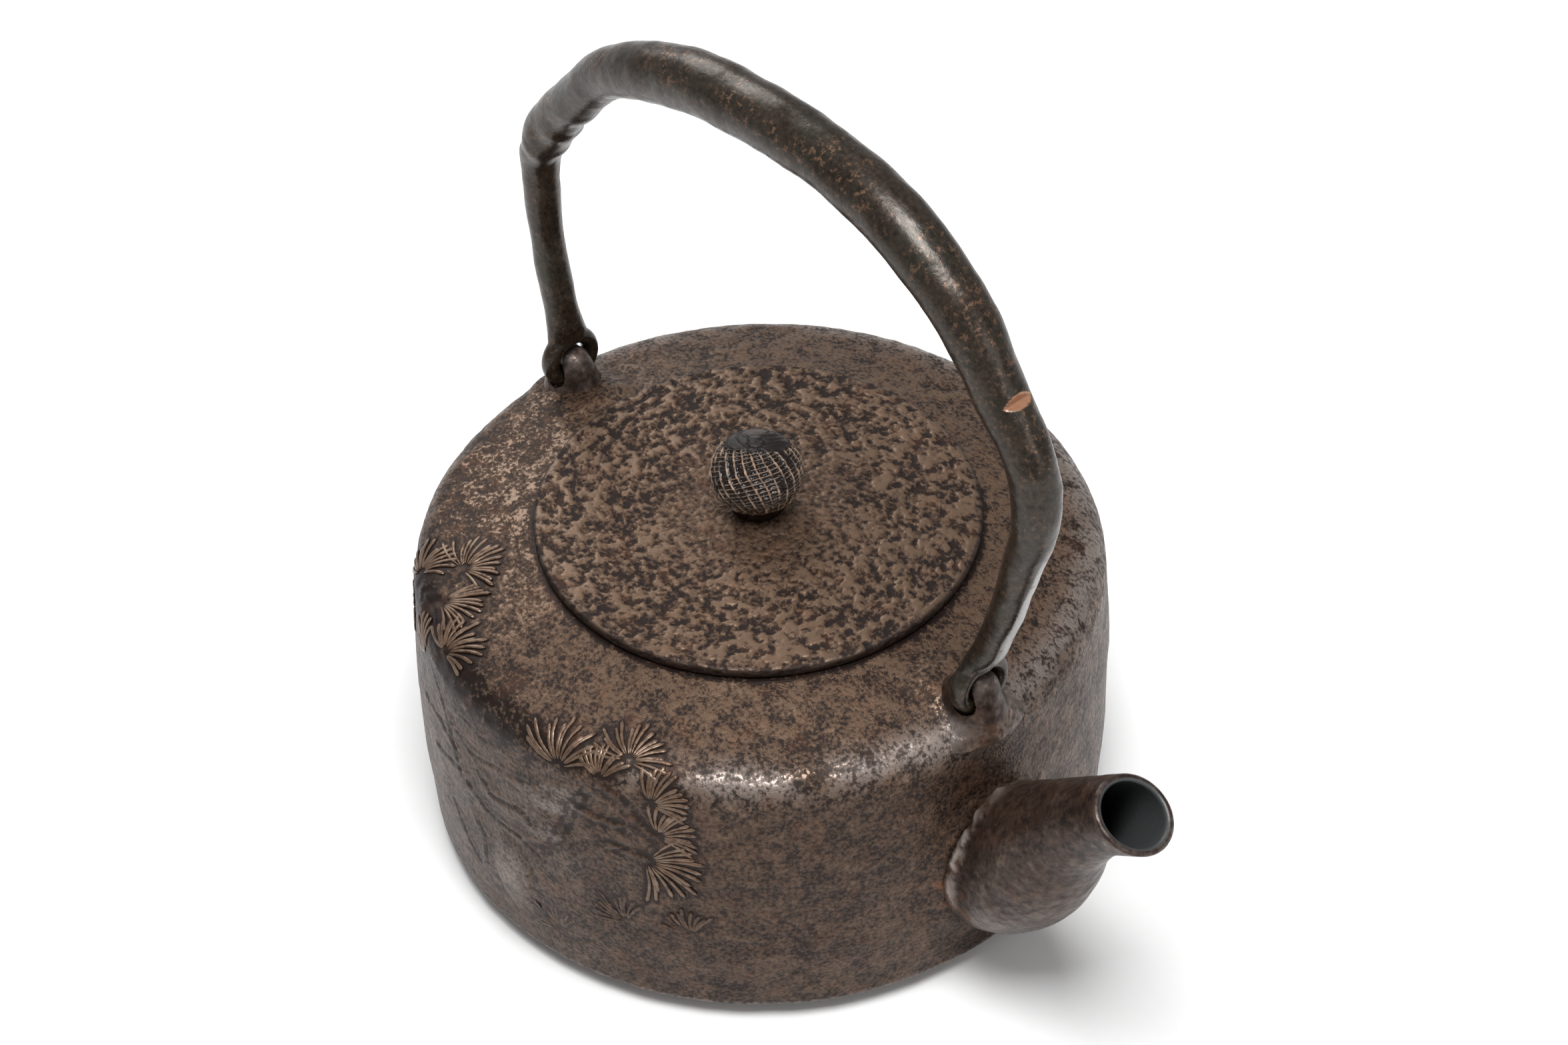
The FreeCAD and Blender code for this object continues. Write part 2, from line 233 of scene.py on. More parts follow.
def rounded_line(corners):
    """Points along an outline whose corners are (across, up, rounding, spacing after it)."""
    places = [np.array(corner[:2]) for corner in corners]
    points = []
    here = places[0]
    for i in range(1, len(corners) - 1):
        at = places[i]
        rounding = max(corners[i][2], 0.05)
        step = corners[i - 1][3]
        into = (at - places[i - 1]) / np.linalg.norm(at - places[i - 1])
        out = (places[i + 1] - at) / np.linalg.norm(places[i + 1] - at)
        turn = math.atan2(into[0] * out[1] - into[1] * out[0], into @ out)
        back = rounding * math.tan(abs(turn) / 2)
        start = at - into * back
        count = max(1, round(np.linalg.norm(start - here) / step))
        points += [here + (start - here) * k / count for k in range(count)]
        side = np.array([-into[1], into[0]]) * math.copysign(rounding, turn)
        count = max(3, round(rounding * abs(turn) / min(step, corners[i][3])))
        for k in range(count):
            angle = turn * k / count
            arm = np.array([-side[0] * math.cos(angle) + side[1] * math.sin(angle),
                            -side[0] * math.sin(angle) - side[1] * math.cos(angle)])
            points.append(start + side + arm)
        here = at + out * back
    count = max(1, round(np.linalg.norm(places[-1] - here) / corners[-2][3]))
    points += [here + (places[-1] - here) * k / count for k in range(count + 1)]
    return np.array(points)


def turned(outline, azimuths):
    """Rows of rings from an outline of radii and heights: (rows, around, 3)."""
    turn = np.radians(azimuths)
    radius = outline[:, :1]
    height = np.repeat(outline[:, 1:2], len(azimuths), axis=1)
    return np.stack([radius * np.cos(turn), radius * np.sin(turn), height], axis=-1)


def full_turn(count):
    """Evenly spaced angles in radians, all the way round."""
    return np.linspace(0, 2 * math.pi, count, endpoint=False)


def even_turn(count):
    """Evenly spaced azimuths, all the way round."""
    return np.arange(count) * 360.0 / count


def outward(rings):
    """Unit normals of the surface through rows of rings, pointing out of it."""
    along = np.gradient(rings, axis=0)
    around = np.roll(rings, -1, axis=1) - np.roll(rings, 1, axis=1)
    normal = np.cross(around, along)
    return normal / np.maximum(np.linalg.norm(normal, axis=2, keepdims=True), 1e-9)


def skin(rings, ends="capped"):
    """Corners and faces of the surface through rows of rings, its ends capped, open or joined."""
    rows, around, _ = rings.shape
    corners = rings.reshape(-1, 3)
    row = np.arange(rows if ends == "joined" else rows - 1)[:, None]
    column = np.arange(around)[None, :]
    beside = (column + 1) % around
    above = (row + 1) % rows
    quads = np.stack([row * around + column, row * around + beside,
                      above * around + beside, above * around + column], axis=-1)
    faces = quads.reshape(-1, 4).tolist()
    if ends == "capped":
        corners = np.concatenate([corners, rings[0].mean(axis=0)[None], rings[-1].mean(axis=0)[None]])
        first = rows * around
        last = first + 1
        top = (rows - 1) * around
        for j in range(around):
            k = (j + 1) % around
            faces.append([first, k, j])
            faces.append([last, top + j, top + k])
    return corners, faces


def joined(shells):
    """Shells of corners and faces, put together as one."""
    corners = []
    faces = []
    for shell_corners, shell_faces in shells:
        start = sum(len(group) for group in corners)
        corners.append(shell_corners)
        faces += [[start + i for i in face] for face in shell_faces]
    return np.concatenate(corners), faces


def smooth_rows(rows, step):
    """Rows of numbers on a smooth curve through the given rows, about `step` apart in x and z."""
    rows = np.array(rows, dtype=float)
    run = np.concatenate([[0.0], np.cumsum(np.linalg.norm(np.diff(rows[:, :2], axis=0), axis=1))])
    slope = np.gradient(rows, run, axis=0)
    places = np.linspace(0, run[-1], max(2, round(run[-1] / step)) + 1)
    piece_no = np.clip(np.searchsorted(run, places, side="right") - 1, 0, len(run) - 2)
    span = (run[piece_no + 1] - run[piece_no])[:, None]
    t = ((places - run[piece_no]) / span[:, 0])[:, None]
    first, last = rows[piece_no], rows[piece_no + 1]
    leave, arrive = slope[piece_no], slope[piece_no + 1]
    return ((2 * t ** 3 - 3 * t ** 2 + 1) * first + (t ** 3 - 2 * t ** 2 + t) * span * leave
            + (3 * t ** 2 - 2 * t ** 3) * last + (t ** 3 - t ** 2) * span * arrive)


# --- pieces ---

def mesh_object(name, corners, faces, masks=None):
    """A smooth-shaded object from millimetre corners, with a named value at each corner."""
    mesh = bpy.data.meshes.new(name)
    mesh.from_pydata((np.asarray(corners) * MM).tolist(), [], faces)
    mesh.update()
    mesh.polygons.foreach_set("use_smooth", [True] * len(mesh.polygons))
    for mask, values in (masks or {}).items():
        layer = mesh.attributes.new(mask, "FLOAT", "POINT")
        layer.data.foreach_set("value", np.asarray(values, dtype=np.float32).ravel())
    thing = bpy.data.objects.new(name, mesh)
    bpy.context.scene.collection.objects.link(thing)
    return thing


def settle(thing, body, node, material):
    """Put a finished piece on its body in place of its CAD node."""
    thing.data.materials.clear()
    thing.data.materials.append(material)
    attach(thing, body)
    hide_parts(node)


def apply_modifiers(thing):
    """Replace an object's mesh with the result of its modifiers."""
    graph = bpy.context.evaluated_depsgraph_get()
    made = bpy.data.meshes.new_from_object(thing.evaluated_get(graph))
    thing.modifiers.clear()
    thing.data = made
    made.polygons.foreach_set("use_smooth", [True] * len(made.polygons))


def remeshed(thing, voxel, smoothing):
    """Join all the overlapping shells of an object into one even skin, then smooth it."""
    remesh = thing.modifiers.new("join", "REMESH")
    remesh.mode = "VOXEL"
    remesh.voxel_size = voxel * MM
    soften = thing.modifiers.new("soften", "SMOOTH")
    soften.factor = 0.5
    soften.iterations = smoothing
    apply_modifiers(thing)


def corners_of(thing):
    """An object's corners and their normals, in millimetres."""
    mesh = thing.data
    flat = np.empty(len(mesh.vertices) * 3)
    mesh.vertices.foreach_get("co", flat)
    facing = np.empty(len(mesh.vertices) * 3, dtype=np.float32)
    mesh.vertex_normals.foreach_get("vector", facing)
    return flat.reshape(-1, 3) / MM, facing.reshape(-1, 3).astype(float)


def move_corners(thing, corners, masks):
    """Write new corners, and a named value at each, to an object."""
    thing.data.vertices.foreach_set("co", (corners * MM).ravel())
    for mask, values in masks.items():
        layer = thing.data.attributes.new(mask, "FLOAT", "POINT")
        layer.data.foreach_set("value", np.asarray(values, dtype=np.float32))
    thing.data.update()


# --- the cast relief of pine boughs ---

# Fans of needles: azimuth, height along the wall, first and last heading, how many, and length.
# Headings are degrees from the way of rising azimuth towards the rim.
NEEDLE_FANS = [
    (-73.4, 70.0, 25.0, 165.0, 13, 12.0),
    (-66.0, 71.0, 35.0, 150.0, 10, 8.5),
    (-62.0, 77.2, -20.0, 185.0, 17, 10.5),
    (-57.2, 68.0, -30.0, 110.0, 13, 9.5),
    (-56.2, 58.2, -35.0, 100.0, 13, 9.5),
    (-58.1, 49.6, -95.0, 45.0, 14, 13.0),
    (-62.4, 25.7, 60.0, 200.0, 12, 9.5),
    (-75.0, 12.1, 55.0, 190.0, 12, 9.0),
    (-51.5, 26.0, 50.0, 165.0, 10, 8.5),
    (-120.7, 84.8, 20.0, 200.0, 16, 10.5),
    (-114.5, 78.0, -10.0, 100.0, 12, 11.5),
    (-104.5, 73.4, 0.0, 180.0, 16, 10.5),
    (-124.0, 73.5, 60.0, 215.0, 13, 10.0),
    (-110.5, 66.0, 100.0, 215.0, 11, 9.0),
    (-128.0, 56.0, 10.0, 200.0, 15, 11.0),
]
# Raised boughs and cut lines: half width, then points of azimuth and height along the wall.
BOUGHS = [
    (0.9, [(-65.9, 69.5), (-62.4, 66.8), (-59.9, 61.9), (-57.0, 58.0)]),
    (0.8, [(-64.2, 51.4), (-61.5, 50.7), (-58.1, 49.6)]),
    (0.8, [(-70.5, 60.0), (-66.8, 58.0), (-62.4, 58.6)]),
    (0.7, [(-76.5, 40.0), (-73.5, 48.0), (-71.0, 58.0), (-68.5, 66.0)]),
    (0.9, [(-118.5, 74.5), (-113.5, 76.5), (-109.0, 74.0), (-104.5, 73.4)]),
    (0.8, [(-120.7, 84.8), (-118.0, 80.0), (-116.0, 76.5)]),
]
CUT_LINES = [
    (0.5, [(-100.2, 57.0), (-93.1, 54.2), (-85.7, 57.5), (-79.4, 59.4), (-74.0, 66.0)]),
    (0.5, [(-106.4, 40.3), (-97.7, 44.2), (-89.5, 38.5), (-82.2, 38.8), (-77.0, 35.2)]),
    (0.5, [(-103.6, 32.0), (-99.4, 23.0), (-94.2, 15.0)]),
    (0.45, [(-98.0, 64.0), (-90.0, 62.5), (-84.0, 66.0)]),
    (0.45, [(-112.0, 50.0), (-104.0, 52.0), (-97.0, 49.0)]),
    (0.4, [(-108.0, 66.0), (-103.0, 60.0), (-99.0, 50.0), (-96.0, 38.0)]),
    (0.4, [(-92.0, 50.0), (-88.0, 46.0), (-82.0, 49.0), (-78.5, 46.0)]),
    (0.4, [(-95.0, 34.0), (-91.0, 28.0), (-91.5, 18.0)]),
    (0.4, [(-80.0, 30.0), (-78.0, 22.0), (-80.5, 12.0)]),
]
TRUNK_FROM = -118.0
TRUNK_TO = -78.0
# The trunk's oval knot: azimuth, height along the wall, half width, half height.
KNOT = (-84.7, 22.8, 6.2, 11.0)
NEEDLE_HALF_WIDTH = 0.60
NEEDLE_HEIGHT = 0.34
WALL_RADIUS = 85.5


def to_segment(x, y, start, end):
    """Distance from points to a straight stretch."""
    span = np.array(end) - np.array(start)
    along = np.clip(((x - start[0]) * span[0] + (y - start[1]) * span[1]) / (span @ span), 0, 1)
    return np.hypot(x - start[0] - along * span[0], y - start[1] - along * span[1])


def to_line(wall, climb, points):
    """Distance on the wall to a bent line through points of azimuth and height along the wall."""
    path = [(math.radians(turn) * WALL_RADIUS, level) for turn, level in points]
    stretches = zip(path, path[1:])
    return np.min([to_segment(wall, climb, start, end) for start, end in stretches], axis=0)


def from_knot(azimuth, climb):
    """How far points are from the middle of the trunk's oval knot, 1 being its edge."""
    middle, level, half_width, half_height = KNOT
    return np.hypot(np.radians(azimuth - middle) * WALL_RADIUS / half_width, (climb - level) / half_height)


def fan_radius(level):
    """Roughly how far from the axis the wall or shoulder is at a height along the wall."""
    return WALL_RADIUS - 0.93 * max(level - 72.0, 0.0)


def needles():
    """Each needle: its fan's azimuth, level and radius, its foot and tip from there, its strength."""
    for fan_no, (centre, level, first, last, count, length) in enumerate(NEEDLE_FANS):
        for k in range(count):
            vary = cell_value(np.array([fan_no, k, 3]), 17)
            heading = math.radians(first + (last - first) * (k + 0.6 * (vary - 0.5)) / (count - 1))
            reach = length * (0.80 + 0.34 * vary)
            tip = np.array([math.cos(heading), math.sin(heading)]) * reach
            yield centre, level, fan_radius(level), tip * 0.16, tip, 0.5 + 0.5 * float(ease(25, 50, level))


def pine_relief(azimuth, climb):
    """Height of the cast relief, how far it smooths the grain, and where it is dark, at each point.

    azimuth is in degrees, and climb is the height along the wall from the lip.
    """
    height = np.zeros_like(azimuth)
    calm = np.zeros_like(azimuth)
    dark = np.zeros_like(azimuth)
    for centre, level, radius, foot, tip, strength in needles():
        x = np.radians(azimuth - centre) * radius
        y = climb - level
        near = np.hypot(x, y) < np.hypot(*tip) + 4
        away = to_segment(x[near], y[near], foot, tip)
        calm[near] = np.maximum(calm[near], hump(away, 1.6))
        dark[near] = np.maximum(dark[near], 0.75 * strength * hump(away, 0.9))
    height -= 0.12 * dark
    wall = np.radians(azimuth) * WALL_RADIUS
    bark = rough(np.stack([wall, climb, np.zeros_like(wall)], axis=-1), 2.4, 19)
    for half_width, points in BOUGHS:
        away = to_line(wall, climb, points) + 0.9 * bark
        broken = ease(-0.5, 0.1, bark)
        height += broken * (0.40 * hump(away, half_width) - 0.25 * hump(away - 1.9 * half_width, 0.6))
        dark = np.maximum(dark, 0.8 * broken * hump(away - 1.9 * half_width, 0.6))
        calm = np.maximum(calm, hump(away, 2 * half_width))
    trunk = ease(TRUNK_FROM - 8, TRUNK_FROM, azimuth) * (1 - ease(TRUNK_TO - 3, TRUNK_TO + 3, azimuth))
    trunk *= 1 - ease(60, 68, climb)
    plates = np.stack([wall * 0.45, climb, np.zeros_like(wall)], axis=-1)
    lead = scattered(plates, 7.0, 23)
    height += trunk * (0.10 * ease(0.02, 0.22, lead) - 0.06)
    dark = np.maximum(dark, trunk * 0.15 * hump(lead, 0.08))
    for half_width, points in CUT_LINES:
        away = to_line(wall, climb, points) + 0.6 * bark
        height += trunk * (0.16 * hump(away - 1.3, 0.7) - 0.34 * hump(away, half_width))
        dark = np.maximum(dark, trunk * 0.5 * hump(away, half_width))
    oval = from_knot(azimuth, climb) + 0.05 * bark
    height += 0.45 * hump(np.maximum(oval - 0.75, 0), 0.25) - 0.25 * hump(oval - 1.2, 0.1)
    calm = np.maximum(calm, 0.8 * trunk)
    return height, np.clip(calm, 0, 1), np.clip(dark, 0, 1)


def pine_needles(outline, run):
    """The raised needles as thin bars that lie on the wall, all in one mesh.

    outline holds the body's radii and heights, and run is how far along it each is from the lip.
    """
    way = np.gradient(outline, axis=0)
    way /= np.linalg.norm(way, axis=1, keepdims=True)
    turn = full_turn(10)
    parts = np.linspace(0, 1, 12)
    bars = []
    tones = []
    for centre, level, radius, foot, tip, strength in needles():
        path = foot + (tip - foot) * parts[:, None]
        bend = 0.05 * np.hypot(*tip) * np.sin(math.pi * parts)[:, None]
        path = path + bend * np.array([-tip[1], tip[0]]) / np.hypot(*tip)
        azimuth = math.radians(centre) + path[:, 0] / radius
        climb = level + path[:, 1]
        out, up = (np.interp(climb, run, outline[:, k]) for k in (0, 1))
        lean_out, lean_up = (np.interp(climb, run, way[:, k]) for k in (0, 1))
        place = np.stack([out * np.cos(azimuth), out * np.sin(azimuth), up], axis=1)
        normal = np.stack([lean_up * np.cos(azimuth), lean_up * np.sin(azimuth), -lean_out], axis=1)
        along = np.gradient(place, axis=0)
        side = np.cross(normal, along)
        side /= np.linalg.norm(side, axis=1, keepdims=True)
        taper = np.sqrt(np.clip(np.minimum(parts * 6, (1.02 - parts) * 9), 0.03, 1))[:, None, None]
        width = NEEDLE_HALF_WIDTH * (0.62 + 0.5 * parts)[:, None, None]
        ring = (place[:, None] + side[:, None] * np.sin(turn)[:, None] * width * taper
                + normal[:, None] * (np.cos(turn)[:, None] * NEEDLE_HEIGHT * strength * taper - 0.02))
        bars.append(skin(ring[:, ::-1]))
        tones.append(strength * np.concatenate([np.tile(np.cos(turn)[::-1], len(parts)), [0.0, 0.0]]))
    corners, faces = joined(bars)
    tone = np.concatenate(tones) * 1.3 - 0.65 + 0.5 * rough(corners, 1.5, 29)
    masks = {"tone": tone, "calm": np.full(len(corners), 0.8), "worn_and_sheen": ease(0.5, 1.0, tone) * 0.25}
    return mesh_object("pine_needles", corners, faces, masks)


# --- kettle body ---

def lug_skirt(place):
    """How much the shoulder rises round the lugs, so that they grow out of it."""
    rise = np.zeros(place.shape[:-1])
    for along in RING_PLACES.values():
        out = math.copysign(1, along)
        x = (place[..., 0] - along) * out
        outside = np.hypot(np.maximum(np.maximum(-x - 13.0, x - 5.5), 0),
                           np.maximum(np.abs(place[..., 1]) - 4.0, 0))
        rise = np.maximum(rise, 1.7 * hump(outside, 4.2))
    return rise * ease(72, 80, place[..., 2])


def spout_skirt(place):
    """How much the wall rises round the spout's root, and where its rough seam is."""
    across = np.hypot(place[..., 1] / 16.0, (place[..., 2] - 36.8) / 21.2)
    outside = (across - 1) * 17.0
    front = ease(0.0, 20.0, place[..., 0])
    return front * 1.1 * hump(np.maximum(outside, 0), 2.6), front * hump(outside - 1.0, 3.0)


def kettle_body():
    """The round body with its chamber, cast grain and pine boughs, and the needles on it."""
    outline = rounded_line(BODY_OUTLINE)
    azimuths = even_turn(BODY_COLUMNS) - 180
    rings = turned(outline, azimuths)
    azimuth = azimuths[None, :] + np.zeros((len(outline), 1))
    run = np.concatenate([[0.0], np.cumsum(np.linalg.norm(np.diff(outline, axis=0), axis=1))])
    lip_row = np.argmin(np.abs(outline[:, 0] - 85.0) + np.abs(outline[:, 1] - LIP_HEIGHT))
    mouth_row = np.argmax((outline[:, 0] < 49.5) & (outline[:, 1] > 80))
    climb = np.repeat((run - run[lip_row])[:, None], len(azimuths), axis=1)
    outer = np.zeros(len(outline))
    outer[lip_row + 1:mouth_row] = 1.0
    outer = outer[:, None]
    chamber = (np.arange(len(outline)) >= mouth_row).astype(float)[:, None]
    radius = np.repeat(np.maximum(outline[:, :1], 20.0), len(azimuths), axis=1)

    relief, calm, dark = pine_relief(azimuth, climb)
    # Painted shade: a thin dark ring on the shoulder just outside the lid's rim, where the rim shades it.
    dark = np.maximum(dark, np.where(climb > 60, hump(np.maximum(radius - 54.7, 0), 0.6), 0))
    by_lid = np.where(climb > 60, 1 - ease(58.0, 67.0, radius), 0.0)
    band = hump(np.abs(climb - 72.5), 6.5) * ease(-140, -120, azimuth) * (1 - ease(-88, -70, azimuth))
    side = 1 - ease(64, 74, climb)
    grain = 1.1 * rough(rings, 2.6, 5)
    fine = rough(rings, 1.1, 21, layers=2)
    swell = rough(rings, 14.0, 9, layers=2)
    edge_grain = hump(climb - 76.0, 6.0)
    grain_depth = (0.10 + 0.24 * band + 0.08 * edge_grain) * (1 - 0.8 * calm)
    grain_depth = grain_depth * (1 - 0.6 * by_lid) * (1 - 0.3 * side)
    skirt = lug_skirt(rings)
    root, seam = spout_skirt(rings)
    height = outer * (relief + grain * grain_depth + 0.05 * fine + 0.2 * swell + skirt + root
                      + seam * (0.35 + 0.3 * grain))
    height += (1 - outer) * (0.08 * swell + 0.03 * fine) * (1 - 0.5 * chamber)
    placed = rings + outward(rings) * height[..., None]

    tone = outer * (0.62 * grain * (1 - 0.75 * calm) * (1 - 0.45 * side) + 0.16 * by_lid
                    - 0.75 * band - 1.1 * dark + 0.35 * np.clip(relief, 0, 1) - 0.16 * side)
    knot = hump(from_knot(azimuth, climb), 0.9)
    patina = ease(-0.1, 0.5, rough(rings, 7.0, 33)) * hump(np.hypot((azimuth + 73) * 1.5, climb - 54), 12.0)
    # Partly real rubbed iron, partly painted highlight: edge lays a pale band on the shoulder's rounding
    # where the overhead light reflects, and lip paints a highlight line along the lip's edge.
    edge = 0.72 * hump(climb - 76.0, 4.5) * ease(-0.9, 0.0, swell) * (1 - 0.8 * calm)
    edge = edge * (1 - band) * ease(-75, -55, azimuth) * ease(-1.1, -0.2, grain)
    lip = 0.9 * hump(climb - 0.4, 0.6)
    worn_and_sheen = outer * np.max([edge, lip, 0.5 * knot, 0.7 * patina], axis=0)
    rust = outer * seam * ease(15, 45, 80 - placed[..., 2]) * 0.5
    masks = {"tone": tone, "calm": np.maximum(calm, 0.55 * side) * outer, "worn_and_sheen": worn_and_sheen, "rust": rust,
             "inside_and_rim_shade": np.repeat(chamber, len(azimuths), axis=1)}
    ends = {name: np.concatenate([values.ravel(), [0.0, values[-1].mean()]])
            for name, values in masks.items()}
    corners, faces = skin(placed)
    middle = np.array([corners[face].mean(axis=0) for face in faces])
    bore = np.hypot(middle[:, 1] / 13.2, (middle[:, 2] - 36.6) / 19.4) < 1
    faces = [face for face, gone in zip(faces, bore & (middle[:, 0] > 60)) if not gone]
    outside = slice(lip_row, mouth_row)
    needle_bars = pine_needles(outline[outside], (run - run[lip_row])[outside])
    return mesh_object("kettle_shell", corners, faces, ends), needle_bars


# --- lid ---

def kettle_lid():
    """The domed lid, its top broken into flat raised patches that grow coarser to the rim."""
    outline = rounded_line(LID_OUTLINE)
    rings = turned(outline, even_turn(430))
    radius = np.hypot(rings[..., 0], rings[..., 1])
    top = np.zeros(len(outline))
    rim_row = len(outline) - 1 - np.argmax(outline[::-1, 0] > LID_RADIUS - 0.05)
    top[rim_row - 1:] = 1.0
    top = top[:, None]
    coarse = rough(rings, 1.8, 31)
    small = rough(rings, 1.25, 47)
    outwards = ease(18, 46, radius)
    mixed = small * (1 - 0.6 * outwards) + coarse * (0.3 + 0.7 * outwards)
    mixed = mixed + 0.10 * bumps(rings, 11.0, 53)
    patch = ease(-0.16, 0.16, mixed)
    contrast = 0.35 + 0.65 * ease(14, 38, radius)
    edge = ease(LID_RADIUS - 1.6, LID_RADIUS - 0.4, radius)
    height = top * ((patch - 0.5) * 0.34 * contrast * (1 - 0.5 * edge) + 0.05 * small
                    + 0.15 * rough(rings, 16.0, 61, layers=2))
    placed = rings + outward(rings) * height[..., None]
    # Painted shade: the lid rim's outer side face is laid in the dark inside colour, as if in its own
    # shadow.
    rim_side_shade = 1 - ease(88.35, 88.8, rings[..., 2])
    tone = top * (1.9 * mixed * contrast + 0.14)
    masks = {"tone": tone, "calm": top * (1 - contrast) * 0.6, "worn_and_sheen": top * edge * (1 - rim_side_shade) * 0.15,
             "inside_and_rim_shade": np.maximum(1 - top, rim_side_shade)}
    corners, faces = skin(placed, ends="joined")
    return mesh_object("kettle_lid", corners, faces, masks)


# --- knob ---

def pine_cone():
    """The cone knob: thin ridges down its sides, broad overlapping scales above, and a stub."""
    lowest = math.asin(KNOB_NECK_RADIUS / KNOB_RADIUS)
    swing = np.linspace(lowest, math.pi - math.asin(KNOB_TIP_RADIUS / KNOB_RADIUS) * 0.95, 120)
    outline = np.stack([KNOB_RADIUS * np.sin(swing),
                        KNOB_CENTRE - KNOB_HALF_HEIGHT * np.cos(swing)], axis=1)
    foot = np.array([(0.8, KNOB_BOTTOM), (3.0, KNOB_BOTTOM), (KNOB_NECK_RADIUS - 0.6, KNOB_BOTTOM),
                     (KNOB_NECK_RADIUS - 0.2, KNOB_BOTTOM + 0.3),
                     (KNOB_NECK_RADIUS - 0.3, KNOB_BOTTOM + 1.4)])
    stub_turn = np.linspace(0, math.pi / 2, 8)[1:-1]
    stub_base = outline[-1, 1]
    stub = np.stack([KNOB_TIP_RADIUS * np.cos(stub_turn),
                     stub_base + 0.2 + (KNOB_TIP_TOP - stub_base - 0.2) * np.sin(stub_turn)], axis=1)
    rings = turned(np.concatenate([foot, outline, stub]), even_turn(360))
    height_share = (rings[..., 2] - KNOB_CENTRE) / KNOB_HALF_HEIGHT
    unit = np.stack([rings[..., 0] / KNOB_RADIUS, rings[..., 1] / KNOB_RADIUS, height_share], axis=-1)
    turned_by = Matrix.Rotation(math.radians(KNOB_LEAN_AZIMUTH), 3, "Z") @ Matrix.Rotation(
        math.radians(KNOB_LEAN), 3, "Y")
    leaning = unit @ np.array(turned_by)
    around = np.arctan2(leaning[..., 1], leaning[..., 0])
    level = leaning[..., 2]
    climb = np.arctanh(np.clip(level, -0.985, 0.985))
    wander = 0.22 * bumps(rings, 4.5, 75)

    def ridges(number, slant, width):
        turn = number * around / (2 * math.pi) + slant * climb + wander
        wave = np.abs((turn + 0.5) % 1 - 0.5)
        return hump(wave, width)

    upper = ease(0.66, 0.76, level + 0.08 * bumps(rings, 4.0, 79))
    top = ease(0.955, 0.985, level)
    knobbly = 0.75 + 0.35 * bumps(rings, 1.1, 77)
    steep = ridges(25, 1.5, 0.17) * knobbly
    cross = ridges(14, -8.5, 0.17) * ease(-0.6, -0.1, bumps(rings, 4.0, 81))
    leaves = np.maximum(ridges(5, 1.6, 0.05), 0.7 * ridges(4, 2.6, 0.04))
    low = 1 - ease(-0.80, -0.68, height_share)
    beads = ease(-0.2, 0.5, bumps(rings, 0.9, 83))
    web = np.maximum(steep, 0.75 * cross) * (1 - upper) * (1 - low)
    scales = leaves * upper * (1 - top)
    height = 0.72 * web + 0.22 * scales + (0.22 * beads - 0.42) * (1 - upper) * (1 - low)
    height += 0.05 * rough(rings, 1.2, 71)
    placed = rings + outward(rings) * height[..., None]
    tone = 1.9 * web + 0.5 * scales - 1.0 + 0.8 * top + 0.2 * rough(rings, 1.5, 73)
    masks = {"tone": tone, "calm": np.clip(0.6 * top, 0, 1), "hollow": 1 - upper}
    ends = {name: np.concatenate([v.ravel(), [v[0].mean(), v[-1].mean()]]) for name, v in masks.items()}
    corners, faces = skin(placed)
    return mesh_object("pine_cone_knob", corners, faces, ends)


# --- spout ---

def spout_rings(stations, around, outside):
    """Rows of rings along the spout, on its outside or in its bore."""
    turn = full_turn(around)
    rows = []
    for x, z, tilt, high, wide, wall, bend in stations:
        inset = 0.0 if outside else wall
        lean = math.radians(tilt)
        upright = np.array([math.sin(lean), 0.0, -math.cos(lean)])
        spun = math.radians(bend)
        upright = np.array([upright[0] * math.cos(spun), upright[0] * math.sin(spun), upright[2]])
        level = np.array([-math.sin(spun), math.cos(spun), 0.0])
        rows.append(np.array([x, 0.0, z]) + np.outer(np.cos(turn), upright) * (high - inset)
                    + np.outer(np.sin(turn), level) * (wide - inset))
    rings = np.array(rows)
    wall_x = np.sqrt(np.maximum((CHAMBER_RADIUS + 0.9) ** 2 - rings[..., 1] ** 2, 0))
    rings[..., 0] = np.maximum(rings[..., 0], wall_x)
    return rings


